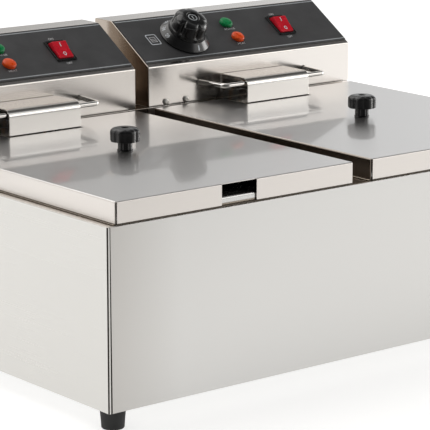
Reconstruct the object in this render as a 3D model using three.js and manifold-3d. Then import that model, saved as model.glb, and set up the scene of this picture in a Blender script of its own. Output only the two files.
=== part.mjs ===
// Countertop double deep fryer: a sheet-metal casing with two lift-out tanks, two lift-off
// lids and two control heads that carry the heating elements.
// Millimetres, +Z up, front towards -Y, origin at the centre of the footprint on the table.
import * as THREE from "three";
import { mergeVertices } from "three/addons/utils/BufferGeometryUtils.js";
import Module from "manifold-3d";

const wasm = await Module();
wasm.setup();

// ---- Driving dimensions ----
const SHEET = 1.2; // sheet thickness of the casing and heads
const GAP = 0.3; // clearance between touching pieces
const CASE = { x: 280, y: 207.5, z0: 18, z1: 176, corner: 3 };
const FOOT = { x: 264, y: 191, rTop: 11.25, rBase: 9.75, stud: 3 };
const RAIL = { x: 270.9, y0: 119, y1: 206, z1: 196 };
const WELL = { x: 140.3, y: -46.2 }; // centre of each tank and lid
const TANK = { x: 108, y: 138, r: 20, z0: 36, flangeX: 131.1, flangeY: 160.1, wall: 1.2 };
const RIM = { x: 128.2, y0: -157.9, y1: 141.5, r: 6, z: 184.6 }; // the tank's raised, turned-down rim
const LID = { x: 129.8, y: 159.6, r: 2, z0: 177.5, z1: 196.2, sheet: 1.0 };
const NOTCH = { x: 19, z: 195.2 }; // basket-handle notch in the lid's front skirt
const CUTOUT = { x: 42, y: 74 }; // opening in the lid's rear edge, round the element guard
const LID_KNOB = { neck: 6.5, head: 13.2, lobe: 0.7, lobes: 8, z: 205.2, top: 217.6,
  left: [2, 5.5], right: [1, -1] }; // left and right: where it stands from the middle of each lid
const HEAD = { x: 139.4, w: 263, y0: 118.2, y1: 207.2, z0: 196.3, z1: 275.2 };
const SLOPE = { y: 119.6, z: 237.0, y1: 178.2, z1: 274.0 }; // front and rear ends of the slope
const PANEL = { start: 3.3, length: 66, edge: 1, z0: 0.3, z1: 1.0 };
const DIAL = { x: 67.8, s: 31.1, base: 26.3, top: 19.6, skirt: 9, grip: 18, height: 28, lobes: 6 };
const LAMP = { x: 130, r: 6.8, hole: 5.1, power: 44.2, heat: 21.3 };
const SWITCH = { x: 195.5, s: 32.3, w: 11.4, l: 14.8, openW: 8.7, openL: 12.3, rim: 2.6 };
const SCREWS = { x: [21, 46], z: 200, r: 3.2 };
const HANGER = { r: 2.4, wall: 69, front: 64.5, y: 81.5, zWall: 215.5, zFront: 215.6 };
const GUARD = { x: 40, y0: 76, y1: 117.9, z0: 197, z1: 221, back: 203, slot: 22, bend: 7.5,
  left: -4.5, right: 0 }; // left and right: how far guard and hanger stand from the head's middle
const ELEMENT = { r: 3.25, leg: 15, y: 84, zOut: 207, z: 58, front: -166, outer: 80, inner: 30 };
const BASKET = { x: 88, y0: -172, y1: 58, z0: 70, z1: 170, taper: 6, wall: 2 };
const REAR = { y: 194, gland: 40, reset: 90, z: 216 };

// ---- Materials ----
const metal = (color, roughness) =>
  new THREE.MeshStandardMaterial({ color, roughness, metalness: 1 });
const plastic = (color, roughness) =>
  new THREE.MeshStandardMaterial({ color, roughness, metalness: 0 });
const brushed = () => metal(0xd8d6d0, 0.35);
const polished = () => metal(0xc8c8c6, 0.15);

// ---- Geometry helpers ----
const box = (x0, x1, y0, y1, z0, z1) =>
  new THREE.BoxGeometry(x1 - x0, y1 - y0, z1 - z0)
    .translate((x0 + x1) / 2, (y0 + y1) / 2, (z0 + z1) / 2);

function roundedRect(hx, hy, r, cx = 0, cy = 0, Kind = THREE.Shape) {
  const s = new Kind();
  s.moveTo(cx - hx + r, cy - hy);
  s.lineTo(cx + hx - r, cy - hy);
  s.absarc(cx + hx - r, cy - hy + r, r, -Math.PI / 2, 0);
  s.lineTo(cx + hx, cy + hy - r);
  s.absarc(cx + hx - r, cy + hy - r, r, 0, Math.PI / 2);
  s.lineTo(cx - hx + r, cy + hy);
  s.absarc(cx - hx + r, cy + hy - r, r, Math.PI / 2, Math.PI);
  s.lineTo(cx - hx, cy - hy + r);
  s.absarc(cx - hx + r, cy - hy + r, r, Math.PI, 1.5 * Math.PI);
  return s;
}

// A flat shape raised from z0 to z1.
const slab = (shape, z0, z1, curveSegments = 3) =>
  new THREE.ExtrudeGeometry(shape, { depth: z1 - z0, bevelEnabled: false, curveSegments })
    .translate(0, 0, z0);

// A profile of [y, z] points drawn out along X.
function drawnAlongX(points, x0, x1) {
  const shape = new THREE.Shape(points.map(([y, z]) => new THREE.Vector2(y, z)));
  const turn = new THREE.Matrix4().makeBasis(
    new THREE.Vector3(0, 1, 0), new THREE.Vector3(0, 0, 1), new THREE.Vector3(1, 0, 0));
  return slab(shape, x0, x1).applyMatrix4(turn);
}

// A profile of [r, h] points turned about the Z axis.
const turned = (points, segments = 16) =>
  new THREE.LatheGeometry(points.map(([r, h]) => new THREE.Vector2(r, h)), segments)
    .rotateX(Math.PI / 2);

// The same, turned about the Y axis.
const turnedAlongY = (points, segments = 12) =>
  new THREE.LatheGeometry(points.map(([r, h]) => new THREE.Vector2(r, h)), segments);

// A round wire through points, with each corner eased by the given radius.
function wire(points, radius, ease, steps, sides = 6) {
  const p = points.map((q) => new THREE.Vector3(...q));
  const path = new THREE.CurvePath();
  let from = p[0];
  for (let i = 1; i < p.length - 1; i++) {
    const back = p[i - 1].clone().sub(p[i]).setLength(ease).add(p[i]);
    const on = p[i + 1].clone().sub(p[i]).setLength(ease).add(p[i]);
    path.add(new THREE.LineCurve3(from, back));
    path.add(new THREE.QuadraticBezierCurve3(back, p[i], on));
    from = on;
  }
  path.add(new THREE.LineCurve3(from, p[p.length - 1]));
  const ring = Array.from({ length: sides }, (_, i) => {
    const a = (2 * Math.PI * i) / sides;
    return new THREE.Vector2(radius * Math.cos(a), radius * Math.sin(a));
  });
  return new THREE.ExtrudeGeometry(new THREE.Shape(ring),
    { extrudePath: path, steps, bevelEnabled: false });
}

// A lobed outline, for grips.
function lobed(radius, lobe, lobes, points = 32) {
  return new THREE.Shape(Array.from({ length: points }, (_, i) => {
    const a = (2 * Math.PI * i) / points;
    const r = radius + lobe * Math.cos(lobes * a);
    return new THREE.Vector2(r * Math.cos(a), r * Math.sin(a));
  }));
}

// ---- Joining and cutting ----
function solid(geometry) {
  const g = geometry.index ? geometry.toNonIndexed() : geometry.clone();
  g.deleteAttribute("normal");
  g.deleteAttribute("uv");
  const m = mergeVertices(g, 1e-4);
  return new wasm.Manifold(new wasm.Mesh({
    numProp: 3,
    vertProperties: m.attributes.position.array,
    triVerts: new Uint32Array(m.index.array),
  }));
}

function geometryOf(body) {
  const m = body.getMesh();
  const g = new THREE.BufferGeometry();
  g.setAttribute("position", new THREE.BufferAttribute(new Float32Array(m.vertProperties), 3));
  g.setIndex(new THREE.BufferAttribute(new Uint32Array(m.triVerts), 1));
  g.computeVertexNormals();
  return g;
}

const cut = (base, ...tools) =>
  geometryOf(tools.reduce((s, t) => s.subtract(solid(t)), solid(base)));
const join = (base, ...more) =>
  geometryOf(more.reduce((s, t) => s.add(solid(t)), solid(base)));

function add(group, name, geometry, material) {
  const mesh = new THREE.Mesh(geometry, material);
  mesh.name = name;
  group.add(mesh);
  return mesh;
}

// ---- Casing ----
const IN = CASE.x - SHEET - GAP; // half width inside the side panels
const FRONT_IN = CASE.y - SHEET - GAP;

function sidePanel(side) {
  const { x, y, corner } = CASE;
  const p = [[x, -y], [x, y], [x - corner, y], [x - corner, y - SHEET],
    [x - SHEET, y - SHEET], [x - SHEET, -y + SHEET], [x - corner, -y + SHEET], [x - corner, -y]];
  const shape = new THREE.Shape(p.map(([a, b]) => new THREE.Vector2(side * a, b)));
  return slab(shape, CASE.z0, CASE.z1);
}

function endPanel(side) {
  const x = CASE.x - CASE.corner - GAP;
  const ys = [side * CASE.y, side * (CASE.y - SHEET)].sort((a, b) => a - b);
  return box(-x, x, ys[0], ys[1], CASE.z0, CASE.z1);
}

function deck() {
  const shape = roundedRect(IN, FRONT_IN, 1);
  for (const side of [-1, 1]) {
    shape.holes.push(roundedRect(TANK.x + 3, TANK.y + 3, TANK.r + 2, side * WELL.x, WELL.y,
      THREE.Path));
  }
  return slab(shape, CASE.z1 - SHEET, CASE.z1);
}

function bottomPlate() {
  const { z0 } = CASE;
  const studs = [[-1, -1], [1, -1], [-1, 1], [1, 1]].map(([a, b]) =>
    turned([[0, z0 - 5], [FOOT.stud + GAP, z0 - 5], [FOOT.stud + GAP, z0 + 5], [0, z0 + 5]], 10)
      .translate(a * FOOT.x, b * FOOT.y, 0));
  return cut(box(-IN, IN, -FRONT_IN, FRONT_IN, z0, z0 + 12),
    box(-IN + SHEET, IN - SHEET, -FRONT_IN + SHEET, FRONT_IN - SHEET, z0 + SHEET, z0 + 20),
    ...studs);
}

function rearRail() {
  const { x, y0, y1, z1 } = RAIL;
  const z0 = CASE.z1 + GAP;
  return cut(box(-x, x, y0, y1, z0, z1),
    box(-x + SHEET, x - SHEET, y0 + SHEET, y1 - SHEET, z0 - 5, z1 - SHEET));
}

const foot = () =>
  turned([[0, 0], [FOOT.rBase, 0], [FOOT.rTop, CASE.z0 - GAP], [FOOT.stud, CASE.z0 - GAP],
    [FOOT.stud, CASE.z0 + 6], [0, CASE.z0 + 6]], 16);

// ---- Tank and basket, about the centre of a well ----
function tank() {
  const { x, y, r, wall, z0, flangeX, flangeY } = TANK;
  const top = LID.z0 - GAP;
  const hole = () => roundedRect(x - wall, y - wall, r - wall, 0, 0, THREE.Path);
  const rim = (inset, type) => roundedRect(RIM.x - inset, (RIM.y1 - RIM.y0) / 2 - inset,
    RIM.r - inset, 0, (RIM.y0 + RIM.y1) / 2, type);
  const foot = roundedRect(flangeX, flangeY, 4);
  const lip = rim(0);
  const ledge = rim(0);
  const side = roundedRect(x, y, r);
  foot.holes.push(rim(wall + 0.3, THREE.Path));
  lip.holes.push(rim(wall, THREE.Path));
  ledge.holes.push(hole());
  side.holes.push(hole());
  return join(slab(foot, CASE.z1 + GAP, top), slab(lip, top - 0.3, RIM.z - wall + 0.3),
    slab(ledge, RIM.z - wall, RIM.z), slab(side, z0 + wall, RIM.z - wall + 0.3),
    slab(roundedRect(x, y, r), z0, z0 + wall));
}

// A tapering tub with slightly smaller base, open at the top.
function tub(hx, y0, y1, z0, z1, taper) {
  const g = box(-hx, hx, y0, y1, z0, z1);
  const p = g.attributes.position;
  const cy = (y0 + y1) / 2;
  for (let i = 0; i < p.count; i++) {
    if (p.getZ(i) > (z0 + z1) / 2) continue;
    p.setX(i, p.getX(i) - Math.sign(p.getX(i)) * taper);
    p.setY(i, p.getY(i) - Math.sign(p.getY(i) - cy) * taper);
  }
  return g;
}

function basket() {
  const { x, y0, y1, z0, z1, taper, wall } = BASKET;
  const y = [y0 - WELL.y, y1 - WELL.y];
  const hook = wire([[-12, y[1] - 1, z1 - 30], [-12, y[1] - 1, 188], [-12, y[1] + 12, 188],
    [-12, y[1] + 12, 176], [12, y[1] + 12, 176], [12, y[1] + 12, 188], [12, y[1] - 1, 188],
    [12, y[1] - 1, z1 - 30]], 2, 3, 24);
  const shell = cut(tub(x, y[0], y[1], z0, z1, taper),
    tub(x - wall, y[0] + wall, y[1] - wall, z0 + wall, z1 + 0.01, taper));
  return join(shell, hook);
}

function basketHandle() {
  const y0 = BASKET.y0 - WELL.y + BASKET.wall + 1;
  const loop = wire([[-14, y0, 160], [-14, y0 + 95, 160], [14, y0 + 95, 160], [14, y0, 160]],
    2, 8, 20);
  return join(slab(roundedRect(18, 46, 8, 0, y0 + 130), 152, 167, 3), loop);
}

// ---- Lid, about the centre of a well ----
function lid(guardX, knob) {
  const { x, y, r, z0, z1, sheet } = LID;
  return cut(slab(roundedRect(x, y, r), z0, z1, 2),
    slab(roundedRect(x - sheet, y - sheet, r - sheet), z0 - 5, z1 - sheet, 2),
    box(-NOTCH.x, NOTCH.x, -y - 5, -y + 5, z0 - 5, NOTCH.z),
    box(guardX - CUTOUT.x, guardX + CUTOUT.x, CUTOUT.y - WELL.y, y + 5, z0 - 5, z1 + 5),
    turned([[0, z1 - 5], [2.3, z1 - 5], [2.3, z1 + 5], [0, z1 + 5]], 8).translate(...knob, 0));
}

function lidKnob() {
  const { neck, head, lobe, lobes, z, top } = LID_KNOB;
  const z0 = LID.z1 + GAP;
  const grip = join(slab(lobed(head, lobe, lobes), z, top),
    turned([[0, z0], [neck, z0], [neck, z + 1], [0, z + 1]], 16));
  return cut(grip, turned([[0, top - 3], [3, top - 3], [3, top + 3], [0, top + 3]], 8),
    turned([[0, z0 - 3], [2.3, z0 - 3], [2.3, z0 + 9], [0, z0 + 9]], 8));
}

function lidKnobScrew() {
  const z = LID.z1 - LID.sheet - GAP;
  return turned([[0, z - 2], [5, z - 2], [5, z], [2, z], [2, z + 9], [0, z + 9]], 10);
}

// ---- Control head, about the left end of its sheet-metal shell ----
const MID = HEAD.w / 2; // the element guard and the hanger are centred on the head

const panelFrame = new THREE.Group();
panelFrame.rotation.x = Math.atan2(SLOPE.z1 - SLOPE.z, SLOPE.y1 - SLOPE.y);
panelFrame.position.set(0, SLOPE.y + PANEL.start * Math.cos(panelFrame.rotation.x),
  SLOPE.z + PANEL.start * Math.sin(panelFrame.rotation.x));
panelFrame.updateMatrix();

// Shaft, lamp and switch holes, in the panel's own frame.
const panelHoles = () => [
  turned([[0, -9], [5.3, -9], [5.3, 9], [0, 9]], 10).translate(DIAL.x, DIAL.s, 0),
  ...[LAMP.power, LAMP.heat].map((s) =>
    turned([[0, -9], [LAMP.hole, -9], [LAMP.hole, 9], [0, 9]], 12).translate(LAMP.x, s, 0)),
  box(SWITCH.x - SWITCH.openW - 1.1, SWITCH.x + SWITCH.openW + 1.1,
    SWITCH.s - SWITCH.openL - 1.1, SWITCH.s + SWITCH.openL + 1.1, -9, 9),
];

const holeAlongY = (x, z, r) =>
  turnedAlongY([[0, -9], [r, -9], [r, 9], [0, 9]], 8).translate(x, HEAD.y0, z);

function headShell(shift) {
  const { w, y0, y1, z0, z1 } = HEAD;
  const outer = [[y0, z0], [y1, z0], [y1, z1], [SLOPE.y1 + 2.2, z1], [SLOPE.y1, SLOPE.z1],
    [SLOPE.y, SLOPE.z], [y0, SLOPE.z - 1.6]];
  const inner = [[y0 + SHEET, z0 - 9], [y1 + 9, z0 - 9], [y1 + 9, z1 - SHEET],
    [SLOPE.y1 + 2.2, z1 - SHEET], [y0 + SHEET, SLOPE.z - 1.6]];
  return cut(drawnAlongX(outer, 0, w), drawnAlongX(inner, SHEET, w - SHEET),
    ...panelHoles().map((g) => g.applyMatrix4(panelFrame.matrix)),
    box(MID - 20, MID + 20, y0 - 5, y0 + 5, 202, 212),
    ...[-1, 1].map((k) =>
      holeAlongY(MID + shift + k * HANGER.wall, HANGER.zWall, HANGER.r + GAP)),
    ...SCREWS.x.map((x) => holeAlongY(x, SCREWS.z, 1.8)));
}

const headBase = () => box(SHEET + GAP, HEAD.w - SHEET - GAP, HEAD.y0 + SHEET + GAP,
  REAR.y - GAP, HEAD.z0, HEAD.z0 + SHEET);

function headBackCover() {
  const hole = (x, r) => turnedAlongY([[0, -9], [r, -9], [r, 9], [0, 9]])
    .translate(x, REAR.y, REAR.z);
  return cut(box(SHEET + GAP, HEAD.w - SHEET - GAP, REAR.y, REAR.y + SHEET, HEAD.z0,
    HEAD.z1 - SHEET - GAP), hole(REAR.gland, 8), hole(REAR.reset, 5.3));
}

const controlPanel = () => cut(
  box(PANEL.edge, HEAD.w - PANEL.edge, 0, PANEL.length, PANEL.z0, PANEL.z1), ...panelHoles());

function cableGland() {
  const y = REAR.y + SHEET + GAP;
  return turnedAlongY([[4.2, y - 10], [7.7, y - 10], [7.7, y], [11, y], [11, y + 4], [8.5, y + 5],
    [8, y + 11], [4.2, y + 11], [4.2, y - 10]]);
}

function resetButton() {
  const y = REAR.y - GAP;
  return turnedAlongY([[0, y - 3], [7, y - 3], [7, y], [5, y], [5, y + 9.5], [4, y + 10.5],
    [0, y + 10.5]]);
}

function wallScrew() {
  const y = HEAD.y0 - GAP;
  return turnedAlongY([[0, y - 2], [2.2, y - 2], [SCREWS.r, y - 0.8], [SCREWS.r, y], [1.5, y],
    [1.5, y + 8], [0, y + 8]], 10);
}

function elementGuard(shift) {
  const { x, y0, y1, z0, z1, back, slot, bend } = GUARD;
  const t = SHEET;
  const arc = (r) => [0, 1, 2, 3].map((i) => {
    const a = (i * Math.PI) / 6;
    return [y0 + bend - r * Math.cos(a), z1 - bend + r * Math.sin(a)];
  });
  const profile = [[y0, z0], [y0 + t, z0], ...arc(bend - t), [y1 - t, z1 - t], [y1 - t, back],
    [y1, back], [y1, z1], ...arc(bend).reverse()];
  return cut(drawnAlongX(profile, MID + shift - x, MID + shift + x),
    box(MID - slot, MID + slot, y1 - 5, y1 + 5, back - 5, 213));
}

function basketHanger(shift) {
  const { r, wall, front, y, zWall, zFront } = HANGER;
  const m = MID + shift;
  return wire([[m - wall, HEAD.y0 + 7, zWall], [m - wall, HEAD.y0 - 2, zWall],
    [m - front, y, zFront], [m + front, y, zFront], [m + wall, HEAD.y0 - 2, zWall],
    [m + wall, HEAD.y0 + 7, zWall]], r, 5, 34);
}

function heatingElement() {
  const { r, leg, y, zOut, z, front, outer, inner } = ELEMENT;
  const half = (k) => [[k * leg, 142, zOut], [k * leg, y, zOut], [k * leg, y, z],
    [k * outer, y, z], [k * outer, front, z], [k * inner, front, z], [k * inner, 46, z]];
  const points = [...half(-1), ...half(1).reverse()];
  return wire(points.map(([a, b, c]) => [MID + a, b, c]), r, 9, 100);
}

function thermostatBulb() {
  const { y, zOut } = ELEMENT;
  const tail = wire([[DIAL.x, 163, 230], [DIAL.x, 163, 213], [MID, 150, zOut], [MID, y, zOut],
    [MID, y, 148]], 1.2, 6, 30, 5);
  return join(turned([[0, 80], [3, 80], [3, 150], [0, 150]], 10).translate(MID, y, 0), tail);
}

// ---- Controls, in the panel's own frame ----
const thermostatBody = () => join(box(-17, 17, -15, 15, -26, -1.6),
  turned([[0, -4], [3, -4], [3, 16], [0, 16]], 12));

function thermostatKnob() {
  const { base, top, skirt, grip, height, lobes } = DIAL;
  const z0 = PANEL.z1 + GAP;
  const body = join(turned([[0, z0], [base, z0], [base, z0 + 1.5], [top, skirt], [0, skirt]], 28),
    slab(lobed(grip, 1, lobes), skirt - 1, height));
  return cut(body, turned([[0, -5], [3.3, -5], [3.3, 17], [0, 17]], 12),
    turned([[0, -5], [7, -5], [7, 5], [0, 5]], 16));
}

const lamp = () => {
  const z0 = PANEL.z1 + GAP;
  return turned([[0, -15], [LAMP.hole - GAP, -15], [LAMP.hole - GAP, z0], [LAMP.r, z0],
    [LAMP.r, z0 + 2.4], [5.2, z0 + 3.6], [0, z0 + 4.2]]);
};

function switchBody() {
  const { w, l, openW, openL, rim } = SWITCH;
  const z0 = PANEL.z1 + GAP;
  return cut(join(box(-w, w, -l, l, z0, rim),
    box(-openW - 0.8, openW + 0.8, -openL - 0.8, openL + 0.8, -13, rim)),
  box(-openW, openW, -openL, openL, -11.8, rim + 5));
}

function rocker() {
  const p = [[-7, -4.5], [7, -4.5], [11.6, -1], [10.4, 2.6], [7.2, 7.7], [-2, 5.2], [-11.9, 3.6],
    [-12, -1]];
  return drawnAlongX(p, -SWITCH.openW + 0.4, SWITCH.openW - 0.4);
}

// ---- Assembly ----
const fryer = new THREE.Group();

function addCasing() {
  add(fryer, "front_panel", endPanel(-1), brushed());
  add(fryer, "rear_panel", endPanel(1), brushed());
  add(fryer, "side_panel_left", sidePanel(-1), brushed());
  add(fryer, "side_panel_right", sidePanel(1), brushed());
  add(fryer, "deck", deck(), brushed());
  add(fryer, "bottom_plate", bottomPlate(), metal(0xb0b0ae, 0.5));
  add(fryer, "rear_rail", rearRail(), brushed());
  for (const [end, y] of [["front", -1], ["rear", 1]]) {
    for (const [side, x] of [["left", -1], ["right", 1]]) {
      add(fryer, `foot_${end}_${side}`, foot(), plastic(0x151515, 0.8))
        .position.set(x * FOOT.x, y * FOOT.y, 0);
    }
  }
}

function addWell(side, k) {
  const well = new THREE.Group();
  well.position.set(k * WELL.x, WELL.y, 0);
  const guardX = k * (HEAD.x - WELL.x) + GUARD[side];
  add(well, `tank_${side}`, tank(), metal(0xbdbdbb, 0.3));
  add(well, `basket_${side}`, basket(), polished());
  add(well, `basket_handle_${side}`, basketHandle(), plastic(0x161616, 0.5));
  add(well, `lid_${side}`, lid(guardX, LID_KNOB[side]), metal(0xb8b5b0, 0.25));
  add(well, `lid_knob_${side}`, lidKnob(), plastic(0x141414, 0.4))
    .position.set(...LID_KNOB[side], 0);
  add(well, `lid_knob_screw_${side}`, lidKnobScrew(), polished())
    .position.set(...LID_KNOB[side], 0);
  fryer.add(well);
}

function addControls(side, panel) {
  add(panel, `control_panel_${side}`, controlPanel(), plastic(0x303030, 0.55));
  add(panel, `thermostat_body_${side}`, thermostatBody(), metal(0x9a9a98, 0.5))
    .position.set(DIAL.x, DIAL.s, 0);
  add(panel, `thermostat_knob_${side}`, thermostatKnob(), plastic(0x141414, 0.35))
    .position.set(DIAL.x, DIAL.s, 0);
  add(panel, `power_lamp_${side}`, lamp(), plastic(0x0f7a45, 0.25))
    .position.set(LAMP.x, LAMP.power, 0);
  add(panel, `heat_lamp_${side}`, lamp(), plastic(0xd04a18, 0.25))
    .position.set(LAMP.x, LAMP.heat, 0);
  add(panel, `switch_body_${side}`, switchBody(), plastic(0x101010, 0.4))
    .position.set(SWITCH.x, SWITCH.s, 0);
  add(panel, `switch_rocker_${side}`, rocker(), plastic(0xb01828, 0.25))
    .position.set(SWITCH.x, SWITCH.s, 0);
}

function addHead(side, k) {
  const head = new THREE.Group();
  head.position.x = k * HEAD.x - HEAD.w / 2;
  add(head, `head_shell_${side}`, headShell(GUARD[side]), brushed());
  add(head, `head_base_${side}`, headBase(), metal(0xb0b0ae, 0.5));
  add(head, `head_back_cover_${side}`, headBackCover(), brushed());
  add(head, `cable_gland_${side}`, cableGland(), plastic(0x181818, 0.6))
    .position.set(REAR.gland, 0, REAR.z);
  add(head, `reset_button_${side}`, resetButton(), plastic(0xb01828, 0.4))
    .position.set(REAR.reset, 0, REAR.z);
  SCREWS.x.forEach((x, i) => add(head, `wall_screw_${i + 1}_${side}`, wallScrew(), polished())
    .position.set(x, 0, SCREWS.z));
  add(head, `element_guard_${side}`, elementGuard(GUARD[side]), brushed());
  add(head, `basket_hanger_${side}`, basketHanger(GUARD[side]), polished());
  add(head, `heating_element_${side}`, heatingElement(), metal(0x6b6964, 0.4));
  add(head, `thermostat_bulb_${side}`, thermostatBulb(), metal(0xb07a4a, 0.35));
  const panel = panelFrame.clone();
  head.add(panel);
  addControls(side, panel);
  fryer.add(head);
}

addCasing();
for (const [side, k] of [["left", -1], ["right", 1]]) {
  addWell(side, k);
  addHead(side, k);
}

export default fryer;
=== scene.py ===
"""Countertop double deep fryer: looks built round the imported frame. Sizes in the code are millimetres."""
import math

import bmesh
import bpy
from mathutils import Matrix, Vector


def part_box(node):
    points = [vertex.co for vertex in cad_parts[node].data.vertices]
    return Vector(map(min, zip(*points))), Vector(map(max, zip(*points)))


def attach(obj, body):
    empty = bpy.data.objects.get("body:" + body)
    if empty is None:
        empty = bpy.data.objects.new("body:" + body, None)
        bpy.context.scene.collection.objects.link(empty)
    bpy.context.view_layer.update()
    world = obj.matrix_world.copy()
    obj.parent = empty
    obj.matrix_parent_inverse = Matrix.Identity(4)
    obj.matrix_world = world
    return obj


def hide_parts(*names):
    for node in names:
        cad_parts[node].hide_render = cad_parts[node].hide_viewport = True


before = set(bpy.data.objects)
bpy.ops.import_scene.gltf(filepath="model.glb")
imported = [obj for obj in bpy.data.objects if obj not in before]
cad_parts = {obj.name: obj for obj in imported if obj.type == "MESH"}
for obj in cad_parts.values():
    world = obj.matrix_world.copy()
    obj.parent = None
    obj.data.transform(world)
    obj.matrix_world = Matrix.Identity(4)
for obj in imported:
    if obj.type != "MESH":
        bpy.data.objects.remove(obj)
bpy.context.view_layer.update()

MM = 0.001
PI = math.pi
SIDES = (("left", -1), ("right", 1))


# ---- places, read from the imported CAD
def cad_box(node):
    """A CAD node's lowest and highest corners, in millimetres to a tenth."""
    return [[round(c / MM, 1) for c in corner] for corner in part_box(node)]


def cad_middle(node):
    """The middle of a CAD node's box, in millimetres to a tenth."""
    return [round((a + b) / 2 / MM, 1) for a, b in zip(*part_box(node))]


def apart(a, b):
    """From b to a, in millimetres to a tenth."""
    return round(a - b, 1)


def along_head(node):
    """How far the middle of a CAD node of the right head is from that head's left end."""
    return apart(cad_middle(node)[0], HEAD_LEFT)


WELL_X, WELL_Y = cad_middle("tank_right")[:2]
(HEAD_LEFT, HEAD_Y0, HEAD_Z0), (HEAD_RIGHT, HEAD_Y1, HEAD_Z1) = cad_box("head_shell_right")
HEAD_X, HEAD_W = cad_middle("head_shell_right")[0], apart(HEAD_RIGHT, HEAD_LEFT)
MID = HEAD_W / 2
# each lid's knob from the middle of its well, and each guard and hanger from the middle of its head
KNOB_AT = {side: (apart(cad_middle(f"lid_knob_{side}")[0], k * WELL_X),
                  apart(cad_middle(f"lid_knob_{side}")[1], WELL_Y)) for side, k in SIDES}
GUARD_AT = {side: apart(cad_middle(f"element_guard_{side}")[0], k * HEAD_X) for side, k in SIDES}
REAR_Y, REAR_Z = cad_box("head_back_cover_right")[0][1], cad_middle("cable_gland_right")[2]
GLAND_X, RESET_X = along_head("cable_gland_right"), along_head("reset_button_right")
SCREW_XS = along_head("wall_screw_1_right"), along_head("wall_screw_2_right")
SCREW_Z = cad_middle("wall_screw_1_right")[2]
HANGER_X, HANGER_Z = 69, 215.5   # where its ends enter the wall, either side of the guard's middle
# the slope of the head, and places on it: along the head, then up the slope from the panel's front edge
SLOPE_Y, SLOPE_Z = 119.6, 237.0
SLOPE = math.atan2(274.0 - 237.0, 178.2 - 119.6)
PANEL_START, PANEL_LEN, PANEL_TOP = 3.3, 66.0, 1.0
DIAL = (along_head("thermostat_knob_right"), 31.1)
LAMP_X, LAMP_POWER, LAMP_HEAT = along_head("power_lamp_right"), 44.2, 21.3
SWITCH = (along_head("switch_body_right"), 32.3)


# ---- materials
class Nodes:
    """Short hand for building a node tree. A value named i_Something is the input Something."""

    def __init__(self, tree):
        self.tree = tree

    def add(self, kind, **values):
        n = self.tree.nodes.new(kind)
        for key, v in values.items():
            if key.startswith("i_"):
                n.inputs[key[2:].replace("_", " ")].default_value = v
            else:
                setattr(n, key, v)
        return n

    def link(self, a, b):
        self.tree.links.new(a, b)

    def ramp(self, source, stops):
        r = self.add("ShaderNodeValToRGB")
        while len(r.color_ramp.elements) < len(stops):
            r.color_ramp.elements.new(0.5)
        for e, (at, c) in zip(r.color_ramp.elements, stops):
            e.position = at
            e.color = (c, c, c, 1) if isinstance(c, (int, float)) else (*c, 1)
        self.link(source, r.inputs["Fac"])
        return r.outputs["Color"]

    def noise(self, vector, scale, detail=3.0, rough=0.5):
        n = self.add("ShaderNodeTexNoise", i_Scale=scale, i_Detail=detail, i_Roughness=rough)
        self.link(vector, n.inputs["Vector"])
        return n.outputs["Fac"]

    def stretched(self, vector, scale):
        m = self.add("ShaderNodeMapping", i_Scale=scale)
        self.link(vector, m.inputs["Vector"])
        return m.outputs["Vector"]

    def math(self, op, a, b):
        m = self.add("ShaderNodeMath", operation=op)
        for i, v in enumerate((a, b)):
            if isinstance(v, (int, float)):
                m.inputs[i].default_value = v
            else:
                self.link(v, m.inputs[i])
        return m.outputs[0]

    def axes(self, vector):
        split = self.add("ShaderNodeSeparateXYZ")
        self.link(vector, split.inputs[0])
        return split.outputs

    def slant(self, axes, x, y):
        """How far along the level direction (x, y)."""
        return self.math("ADD", self.math("MULTIPLY", axes["X"], x), self.math("MULTIPLY", axes["Y"], y))

    def fade(self, distance, start, end):
        """0 to 1 between two distances in mm."""
        m = self.add("ShaderNodeMapRange", i_From_Min=start * MM, i_From_Max=end * MM)
        self.link(distance, m.inputs["Value"])
        return m.outputs["Result"]

    def multiply(self, a, b):
        """Two colours multiplied."""
        m = self.add("ShaderNodeMix", data_type="RGBA", blend_type="MULTIPLY")
        m.inputs[0].default_value = 1.0
        self.link(a, m.inputs[6])
        self.link(b, m.inputs[7])
        return m.outputs[2]


def scaled(colour, k):
    return tuple(min(1.0, c * k) for c in colour)


def new_material(name, base, rough, metallic=0.0, **shader):
    m = bpy.data.materials.new(name)
    m.use_nodes = True
    m.diffuse_color = (*base, 1)
    n = Nodes(m.node_tree)
    s = m.node_tree.nodes["Principled BSDF"]
    s.inputs["Base Color"].default_value = (*base, 1)
    s.inputs["Roughness"].default_value = rough
    s.inputs["Metallic"].default_value = metallic
    for key, v in shader.items():
        s.inputs[key.replace("_", " ")].default_value = v
    where = n.add("ShaderNodeTexCoord").outputs["Object"]
    return m, n, s, where


def bump(n, s, height, strength, distance):
    b = n.add("ShaderNodeBump", i_Strength=strength, i_Distance=distance)
    n.link(height, b.inputs["Height"])
    n.link(b.outputs["Normal"], s.inputs["Normal"])


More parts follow.
